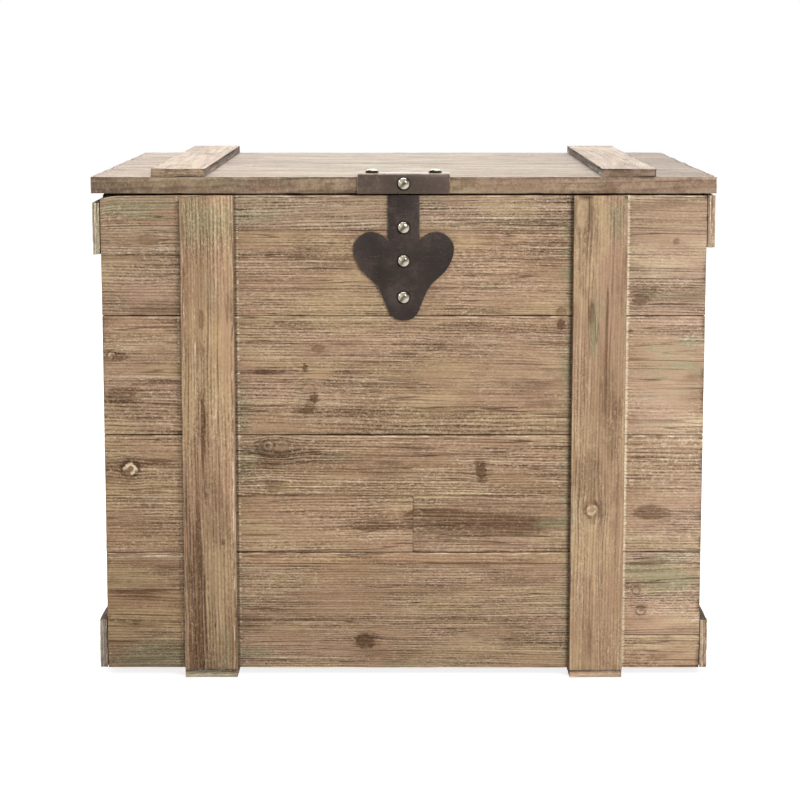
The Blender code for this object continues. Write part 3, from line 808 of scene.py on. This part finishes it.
frontBoard(
    3, 303.1, list=(
        (-239.7, 270.6, 3.4, 3, -0.75), (-69.8, 275.5, 4.6, 2.4, 0.4), (-80.9, 260.3, 1.4, 2.4, 0.8),
        (-73.5, 235, 2.6, 3.4, 0.8), (-78.5, 242.5, 5, 3.6, -0.35), (-80.5, 224, 4.8, 1.9, 0.65),
        (129, 296, 2.6, 3, 0.8), (186, 290.5, 1.4, 1, 0.7),
    ),
    patches=(
        (-70, 254.5, 12, 5, -1), (-110, 257.5, 26, 6, 0.7), (-45, 223.5, 34, 6, 0.35),
        (-76.8, 229.5, 3.4, 6, 1), (-205, 259, 30, 6, -0.8), (220, 250, 50, 45, -0.8),
        (-233, 236.5, 14, 7.5, 1), (-200, 247, 30, 8, 0.5), (-232, 269, 8, 4, 0.8),
        (30, 275, 50, 10, 0.35),
    ),
    moss=(
        (-132, 222, 8, 16, 1.2), (-85, 238, 6, 7, 0.9), (10, 211, 40, 5, 0.8), (235, 285, 14, 10, 0.8),
        (220, 250, 40, 40, 0.6),
    ),
    glow=((-220, 250, 50, 50, -0.05), (225, 255, 50, 50, 0.43), (-210, 292, 50, 12, 0.16)),
    cool=((225, 250, 60, 90, 1.2),),
)
frontBoard(
    2, 204.2, warm=0.4, panels=((-0.3, -0.16, ()), (-0.16, 0.16, (0.153,)), (0.16, 0.3, ())),
    butts=((0.0078, 0.12),),
    list=(
        (-225.7, 175.6, 6.6, 5.8, -1), (-111.8, 195, 4.6, 4.4, -0.6), (-100.5, 194.5, 6, 6.2, -0.3),
        (64, 174, 3.4, 4.6, 0.75), (-108, 160.5, 6, 4, 0.3),
    ),
    patches=(
        (68, 129, 55, 8.5, 1.5), (30, 139, 30, 6, 0.8), (-30, 128, 22, 5, 0.8), (205, 140, 20, 7, 0.9),
        (-105, 185, 20, 9, 0.6), (-205, 182, 16, 3, 0.9), (62.5, 181.5, 5, 5, 1), (65, 167, 4, 4, 1),
        (-117.5, 195.5, 5, 6, 0.9), (-112.5, 181, 9, 3, 0.9),
    ),
    moss=(
        (-127, 180, 10, 20, 1.1), (120, 128, 12, 6, 0.8), (-65, 197, 20, 7, 0.7),
        (-50, 186, 20, 6, 0.7),
    ),
    glow=(
        (-220, 155, 50, 50, -0.05), (220, 155, 50, 50, 0.24), (-50, 135, 60, 20, 0.06),
        (-110, 193, 30, 12, -0.2),
    ),
    cool=((225, 155, 60, 90, 1),),
)
frontBoard(
    1, 105.3, warm=0.6,
    panels=((-0.3, -0.16, (0.0727,)), (-0.16, 0.16, (0.0956,)), (0.16, 0.3, (0.096, 0.035))),
    list=(
        (-32, 29, 5.6, 4.4, 0.9), (193.5, 72.5, 2.6, 2.6, -0.55), (197.5, 55.5, 3.6, 3.2, -0.55),
        (205, 97, 10, 3, 0.3),
    ),
    moss=((210, 86, 40, 18, 1.5), (-200, 16, 40, 13, 1.8), (-120, 20, 20, 8, 1), (20, 10, 60, 5, 0.8)),
    patches=(
        (-215, 72, 50, 12, 0.42), (-140, 45, 50, 20, 0.4), (-28, 33.5, 12, 2.6, 0.9),
        (-20, 21.5, 12, 8, -0.8), (198.5, 58, 9, 7, 0.55), (225, 25, 30, 16, -0.7),
        (215, 45, 40, 10, -0.6), (220, 82, 40, 10, -0.5),
    ),
    glow=(
        (-220, 14, 60, 20, -0.24), (-225, 60, 50, 70, -0.18), (0, 60, 130, 70, -0.05),
        (220, 55, 50, 60, 0.26),
    ),
    cool=((225, 55, 60, 90, 1.4), (-200, 0, 80, 30, 0.8)),
    pale=((-210, 102, 30, 0.8, 0.8), (-215, 34.5, 20, 0.6, 0.6)),
)
# the battens' side faces are darker: painted shade
battenLook = {
    "detail": "fine", "ease": 0.0004, "chip": 0.7, "toneSpread": 0, "warmSpread": 0,
    "contrast": (1, 1), "ringWidth": (0.0024, 0.0028), "edge": (0.6, 0, 0.8, 0.4),
}
makeBoard("front_batten_left", "box", battenLook, {
    "warm": 0.5, "tweak": slantedTop, "contrast": (0.72, 0.72),
    "list": ((300, -165, 6, 1.6, 0.3), (115, -149, 1.4, 1.1, 0.5)),
    "moss": ((385, -160, 20, 30, 1.5), (320, -150, 40, 20, 0.6), (20, -147, 30, 8, 0.8)),
    "glow": (
        (300, -160, 160, 50, 0.08), (300, -146, 160, 9, 0.14), (20, -165, 150, 20, -0.17),
        (400, -160, 20, 50, 0.08),
    ),
    "patches": ((60, -171, 100, 9, 0.7), (220, -165, 40, 5, 0.6), (300, -145, 100, 8, -0.5)),
    "pale": (
        (260, -170.5, 100, 0.7, 0.55), (170, -140.5, 250, 0.8, 0.5), (320, -179.5, 100, 0.8, 0.45),
        (50, -162.5, 70, 0.5, 0.5),
    ),
})
makeBoard("front_batten_right", "box", battenLook, {
    "warm": 0.1, "light": 1.205, "tweak": pressedDown, "contrast": (0.5, 0.5),
    "list": ((142.6, 155.5, 5.6, 5, -0.7), (388, 145, 15, 5.4, -0.38), (306, 153, 6, 1.6, 0.5)),
    "glow": ((330, 160, 130, 50, -0.13), (100, 138.5, 120, 2.2, 0.12)),
    "moss": ((380, 172, 30, 10, 1.2), (290, 155, 30, 6, 0.9), (140, 141, 50, 3, 1)),
    "patches": ((300, 166.5, 50, 2.2, 0.6), (240, 165.5, 30, 1.2, 0.7), (142.6, 159, 8, 6, 0.3)),
})

print("other boards")
lidLook = {
    "finish": "lid_fir", "light": 0.88, "toneSpread": 0.04, "warm": -2.4, "warmSpread": 0.4,
    "contrast": (0.48, 0.66), "knots": 0.5, "ease": 0.0003,
    "edge": (0.74, 1.9, 0.8, 0.9),
    "end": (0.82, 1.9, 0.8, 1),
}
# the lid battens' side faces are darker: painted shade
lidBattenLook = {
    "tweak": pressedDown, "ease": 0.0002, "light": 1.05, "warm": -2, "contrast": (0.85, 0.95),
    "edge": (0.43, 0.4, 0.8, 0.8),
    "end": (0.78, 1.5, 0.8, 1),
}
# painted light and shade on the lid's top: lighter left of the middle, darker at the right, and a painted
# highlight along the right part of the front edge, a little darker along its left part
lidPaintedLight = (
    (-80, 0, 220, 9000, 0.1), (220, 0, 90, 9000, -0.24), (200, -196.6, 160, 0.9, 0.42),
    (-100, -196.6, 200, 0.9, -0.06),
)
lidMoss = ((-30, 0, 160, 9000, 0.6),)
# the trims' faces turned up are darkened: painted shade
trimLook = {"ease": 0.0006, "knots": 0, "warm": -0.8, "topShade": 0.9}
trimTints = {
    "top_left": {"moss": ((-190, 375, 50, 30, 2.2),), "end": (1.62, -1.9, 1, 0.45)},
    "top_right": {"light": 1.1, "topShade": 0.3, "end": (1.45, -1.8, 1, 0.45)},
    "bottom_left": {"end": (1.16, -3.6, 1, 0.45)},
    "bottom_right": {"light": 1.1, "end": (1.6, -2.2, 1, 0.45)},
}
insideLook = {"slot": "plain_fir", "detail": "plain", "contrast": (0.6, 0.8), "knots": 0.5}
# tops of the side boards and corner posts, under the lid, and the side boards' front top corner are
# darkened: painted shade
sideTopLook = {"ease": 0.0005, "topShade": 0.8, "dirt": ((-196, 402, 30, 5, 1),)}
postLook = {"topShade": 0.9, "dirt": ((402, 0, 5, 9000, 1),)}
footLook = {"ease": 0.0002, "knots": 0, "warm": -0.8, "moss": ((-197, -160, 10, 30, 1.6),)}
footEnds = {
    "left": (1.55, -2, 0.9, 0.4),
    "right": (1.6, -1.4, 0.9, 0.4),
}
for row in range(1, 5):
    makeBoard(f"back_board_{row}", "box", {"ease": 0.0005})
    for side in ("left", "right"):
        makeBoard(f"{side}_board_{row}", "box", sideTopLook if row == 4 else {"ease": 0.0005})
for side in ("left", "right"):
    makeBoard(f"back_batten_{side}", "box", battenLook, {"detail": "middle"})
    makeBoard(f"foot_strip_{side}", "box", footLook, {"end": footEnds[side]})
    for level in ("top", "bottom"):
        makeBoard(f"side_trim_{level}_{side}", "box", trimLook, trimTints[f"{level}_{side}"])
    makeBoard(f"lid_batten_{side}", "lid", lidLook, lidBattenLook)
    for end in ("front", "back"):
        makeBoard(f"corner_post_{end}_{side}", "box", insideLook, postLook)
for number in range(1, 5):
    makeBoard(f"lid_board_{number}", "lid", lidLook, {"glow": lidPaintedLight, "moss": lidMoss})
makeBoard("floor_panel", "box", insideLook)

print("metal pieces")


def finishMetal(form, name, body, slot, nodes, rimOf, angle=40):
    bmesh.ops.recalc_face_normals(form, faces=form.faces)
    rim = form.verts.layers.float_vector.new("rim")
    for vert in form.verts:
        vert[rim] = rimOf(vert.co)
    mesh = newMesh(name, form)
    mesh.shade_smooth()
    mesh.set_sharp_from_angle(angle=math.radians(angle))
    return settle(name, mesh, body, slot, nodes)


def onlyVerts(parts):
    return [part for part in parts if isinstance(part, bmesh.types.BMVert)]


def plate(outline, shift):
    # a solid between a flat outline and its copy, which is moved by shift
    form = bmesh.new()
    face = form.faces.new([form.verts.new(spot) for spot in outline])
    raised = bmesh.ops.extrude_face_region(form, geom=[face])["geom"]
    bmesh.ops.translate(form, vec=shift, verts=onlyVerts(raised))
    return form


def turnAndPlace(form, angle, spot):
    bmesh.ops.rotate(form, cent=(0, 0, 0), matrix=Matrix.Rotation(angle, 3, "X"), verts=form.verts)
    bmesh.ops.translate(form, vec=spot, verts=form.verts)


def smoothCurve(points, steps):
    # a curve through every given point
    ends = [points[0], *points, points[-1]]
    line = []
    for before, start, end, after in zip(ends, ends[1:], ends[2:], ends[3:]):
        for step in range(steps):
            t = step / steps
            spot = []
            for p, q, r, s in zip(before, start, end, after):
                bend = t * t * (2 * p - 5 * q + 4 * r - s) + t ** 3 * (3 * q - 3 * r + s - p)
                spot.append(q + (t * (r - p) + bend) / 2)
            line.append(tuple(spot))
    return [*line, points[-1]]


heartPlate = {
    "neck": 0.026,
    "heartHeight": 0.0729,
    "halfShape": (
        (0.316, 0.915), (0.473, 0.978), (0.699, 1.0), (0.91, 0.929), (1.0, 0.798), (0.867, 0.586),
        (0.524, 0.387), (0.359, 0.188), (0.272, 0.075), (0.15, 0.015), (0.0, 0.0),
    ),
    "steps": 6,
    "rounding": 0.0004,
}


def makeHeartPlate(sizes):
    low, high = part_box("heart_plate")
    half = (high.x - low.x) / 2
    shape = [(half * x, low.z + sizes["heartHeight"] * z) for x, z in sizes["halfShape"]]
    curve = smoothCurve(shape, sizes["steps"])
    notch = curve[0][1]
    right = [(sizes["neck"] / 2, high.z), (sizes["neck"] / 2, notch), *curve[1:]]
    outline = right + [(-x, z) for x, z in reversed(right[:-1])]
    form = plate([(x, high.y, z) for x, z in outline], (0, low.y - high.y, 0))
    edges = [e for e in form.edges if all(abs(v.co.y - low.y) < 1e-6 for v in e.verts)]
    bevel(form, edges, sizes["rounding"], 3)
    return finishMetal(
        form, "heart_latch_plate", "box", "dark_iron", ["heart_plate"],
        lambda spot: (0.0 if spot.y < low.y + 1e-5 else 1.0, 0, 0),
    )


makeHeartPlate(heartPlate)

bracketShape = {
    "thickness": 0.0024, "bendSteps": 6, "rounding": 0.0005, "rimWidth": 0.0004, "sheenDepth": 0.0008,
}


def makeBracket(sizes):
    low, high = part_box("lid_bracket")
    thick = sizes["thickness"]
    bend = [math.pi / 2 * step / sizes["bendSteps"] for step in range(sizes["bendSteps"] + 1)]
    outer = [(low.y + thick - thick * math.cos(t), high.z - thick + thick * math.sin(t)) for t in bend]
    inY, inZ = low.y + thick, high.z - thick
    profile = [(low.y, low.z), *outer, (high.y, high.z), (high.y, inZ), (inY, inZ), (inY, low.z)]
    form = plate([(low.x, y, z) for y, z in profile], (high.x - low.x, 0, 0))

    def inside(vert):
        return vert.co.y > inY - 1e-6 and vert.co.z < inZ + 1e-6

    # the end rims get the lighter edge colour, worn and partly painted highlight, and the top flange its
    # painted reflection
    def rimAndTopSheen(spot):
        rim = min(spot.x - low.x, high.x - spot.x) < sizes["rimWidth"]
        return float(rim), float(spot.z > high.z - sizes["sheenDepth"]), 0

    sharp = [e for e in form.edges if len(e.link_faces) == 2 and e.calc_face_angle() > math.radians(50)]
    outside = [e for e in sharp if not all(inside(vert) for vert in e.verts)]
    bevel(form, outside, sizes["rounding"], 2)
    return finishMetal(form, "lid_latch_bracket", "lid", "worn_iron", ["lid_bracket"], rimAndTopSheen)


makeBracket(bracketShape)

nailShape = {
    "radius": 0.0052, "height": 0.0035, "topHeight": 0.0028, "flange": 0.0057, "lip": 0.00035,
    "shank": 0.0011, "length": 0.01, "arc": 10, "turns": 40,
    "rimShadeFrom": 0.82, "rimShadeOver": 0.16, "rimShadeLow": 0.12, "reflectionWidth": 0.0026,
}


def makeNail(name, body, toward, sizes):
    # a dome on a thin flange darkened by painted shade, and the shank behind it
    low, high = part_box(name)
    middle = (low + high) / 2
    radius, lip, flange, shank = sizes["radius"], sizes["lip"], sizes["flange"], sizes["shank"]
    tall = sizes["height"] if toward == "front" else sizes["topHeight"]
    arc = [math.pi / 2 * step / sizes["arc"] for step in range(sizes["arc"] + 1)]
    dome = [(radius * math.sin(t), lip + (tall - lip) * math.cos(t)) for t in arc]
    end = -sizes["length"]
    back = [(flange, lip * 0.5), (flange, 0), (shank, 0), (shank, shank + end), (0, end)]
    form = bmesh.new()
    verts = [form.verts.new((r, 0, z)) for r, z in [*dome, *back]]
    edges = [form.edges.new(pair) for pair in zip(verts, verts[1:])]
    bmesh.ops.spin(
        form, geom=verts + edges, cent=(0, 0, 0), axis=(0, 0, 1), angle=math.tau,
        steps=sizes["turns"], use_merge=True,
    )
    bmesh.ops.remove_doubles(form, verts=form.verts, dist=1e-6)
    seat = Vector((middle.x, middle.y, high.z - sizes["height"]))
    if toward == "front":
        seat = Vector((middle.x, low.y + sizes["height"], middle.z))
    turnAndPlace(form, math.pi / 2 if toward == "front" else 0, seat)

    def wear(spot):
        # painted shade round the rim, with a little dirt, most of it below and to the left, and a
        # slanting band on the crown that is a painted dark reflection
        aside, up = spot.x - seat.x, (spot.z - seat.z if toward == "front" else spot.y - seat.y)
        below = min(up + aside * 0.5, 0) / radius * sizes["rimShadeLow"]
        out = math.hypot(aside, up) / radius - sizes["rimShadeFrom"] - below
        return np.clip(out / sizes["rimShadeOver"], 0, 1), math.exp(-((aside - up) / sizes["reflectionWidth"]) ** 2), 0

    piece = name.replace("nail", "domeNail")
    return finishMetal(form, piece, body, "polished_steel", [name], wear, 50)


for number in (1, 2, 3):
    makeNail(f"heart_plate_nail_{number}", "box", "front", nailShape)
makeNail("lid_bracket_nail_front", "lid", "front", nailShape)
for side in ("left", "right"):
    makeNail(f"lid_bracket_nail_{side}", "lid", "up", nailShape)

screwShape = {
    "radius": 0.0024, "coneDepth": 0.0012, "shank": 0.0012, "slot": 0.00034, "reach": 0.0016,
    "sunk": 0.0007, "turns": 32,
}


def makeScrew(name, body, sizes):
    # a countersunk head with a cross cut into it, and the shank behind it
    low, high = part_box(name)
    middle = (low + high) / 2
    slot, reach = sizes["slot"], sizes["reach"]
    form = bmesh.new()
    bmesh.ops.create_circle(form, cap_ends=True, radius=sizes["radius"], segments=sizes["turns"])
    rim = [edge for edge in form.edges if edge.is_boundary]
    for radius, depth in ((sizes["shank"], sizes["coneDepth"]), (sizes["shank"], high.y - low.y)):
        grown = bmesh.ops.extrude_edge_only(form, edges=rim)["geom"]
        rim = [part for part in grown if isinstance(part, bmesh.types.BMEdge)]
        for vert in onlyVerts(grown):
            vert.co *= radius / vert.co.xy.length if vert.co.xy.length > 0 else 1
            vert.co.z = -depth
    bmesh.ops.edgeloop_fill(form, edges=rim)
    for axis in (0, 1):
        for level in (-reach, -slot, slot, reach):
            way = Matrix.Identity(3)[axis]
            head = [face for face in form.faces if all(abs(vert.co.z) < 1e-7 for vert in face.verts)]
            parts = dict.fromkeys(part for face in head for part in (face, *face.edges, *face.verts))
            bmesh.ops.bisect_plane(form, geom=list(parts), plane_co=way * level, plane_no=way)
    cross = []
    for face in form.faces:
        spot = face.calc_center_median()
        x, y = abs(spot.x), abs(spot.y)
        if abs(spot.z) < 1e-7 and ((x < slot and y < reach) or (y < slot and x < reach)):
            cross.append(face)
    sunk = bmesh.ops.extrude_face_region(form, geom=cross)["geom"]
    bmesh.ops.translate(form, vec=(0, 0, -sizes["sunk"]), verts=onlyVerts(sunk))
    bmesh.ops.delete(form, geom=cross, context="FACES_ONLY")
    turnAndPlace(form, -math.pi / 2, (middle.x, high.y, middle.z))
    return finishMetal(
        form, name + "_cross", body, "zinc_steel", [name], lambda spot: (0, 0, 0), 30
    )


for name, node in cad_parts.items():
    if name.startswith("hinge_") and "screw" in name:
        makeScrew(name, "lid" if "lid" in name else "box", screwShape)
    elif name.startswith("hinge_"):
        node.data.materials.clear()
        node.data.materials.append(finishes["zinc_steel"])

print("floor, light and camera")

stageLook = {
    "floor": (190, 188, 185), "size": 12.0, "drop": 0.0005, "glow": 0.82, "worldSeen": 1.0,
    "worldLight": 0.42,
}

form = bmesh.new()
bmesh.ops.create_grid(form, x_segments=1, y_segments=1, size=stageLook["size"] / 2)
bmesh.ops.translate(form, vec=(0, 0, -stageLook["drop"]), verts=form.verts)
floor = newObject("floor", newMesh("floor", form))


def seenDirectly(finish):
    # 1 for the camera and for mirror-like surfaces, 0 for the light that falls on the trunk
    kinds = ("Is Camera Ray", "Is Glossy Ray", "Is Transmission Ray")
    camera, glossy, through = finish.add("LightPath", {}, {}, kinds)
    return camera.maths("MAXIMUM", glossy).maths("MAXIMUM", through)


paper = Finish(bpy.data.materials.new("paleFloor"))
matte = paper.add("BsdfDiffuse", {}, {"Color": stageLook["floor"]})
bright = paper.add("Emission", {}, {"Color": (255, 255, 255), "Strength": stageLook["glow"]})
both = paper.add("AddShader", {}, {0: matte, 1: bright})
cover = paper.add("MixShader", {}, {0: seenDirectly(paper), 1: matte, 2: both})
paper.add("OutputMaterial", {}, {"Surface": cover})
floor.data.materials.append(paper.owner)

world = bpy.data.worlds.new("studio")
bpy.context.scene.world = world
sky = Finish(world)
extra = stageLook["worldSeen"] - stageLook["worldLight"]
strength = seenDirectly(sky) * extra + stageLook["worldLight"]
glow = sky.add("Background", {}, {"Color": (255, 255, 255), "Strength": strength})
sky.add("OutputWorld", {}, {"Surface": glow})

lamps = {
    "above": {"at": (0.0, 0.15, 2.2), "aim": (0, 0, 0.3), "size": (1.8, 1.4), "power": 39},
    "rightKey": {"at": (0.85, -1.75, 1.2), "aim": (0, -0.1, 0.2), "size": (0.7, 0.7), "power": 22.5},
    "leftSpark": {"at": (-1.5, -0.75, 1.25), "aim": (0, -0.2, 0.3), "size": (0.45, 0.45), "power": 4},
    "frontFill": {"at": (-1.5, -2.2, 0.9), "aim": (0, -0.1, 0.2), "size": (1.2, 1.2), "power": 3.5},
    "backFill": {"at": (-0.1, 2.6, 1.5), "aim": (0, 0.1, 0.2), "size": (1.6, 1.6), "power": 26},
}
for name, lamp in lamps.items():
    data = bpy.data.lights.new(name, "AREA")
    data.shape = "RECTANGLE"
    data.size, data.size_y = lamp["size"]
    data.energy = lamp["power"]
    light = newObject(name, data)
    light.location = lamp["at"]
    way = Vector(lamp["aim"]) - Vector(lamp["at"])
    light.rotation_euler = way.to_track_quat("-Z", "Y").to_euler()

cameraSet = {
    "at": (-0.00073, -2.01385, 0.52723), "down": 0.14049, "turn": 0.00122, "lens": 100.8,
    "sensor": 36, "shift": -0.055,
}
cameraData = bpy.data.cameras.new("camera")
cameraData.lens = cameraSet["lens"]
cameraData.sensor_width = cameraSet["sensor"]
cameraData.shift_y = cameraSet["shift"]
camera = newObject("camera", cameraData)
camera.location = cameraSet["at"]
camera.rotation_euler = (math.pi / 2 - cameraSet["down"], 0, cameraSet["turn"])
bpy.context.scene.camera = camera
bpy.context.scene.view_settings.view_transform = "Standard"

print("trunk finished")
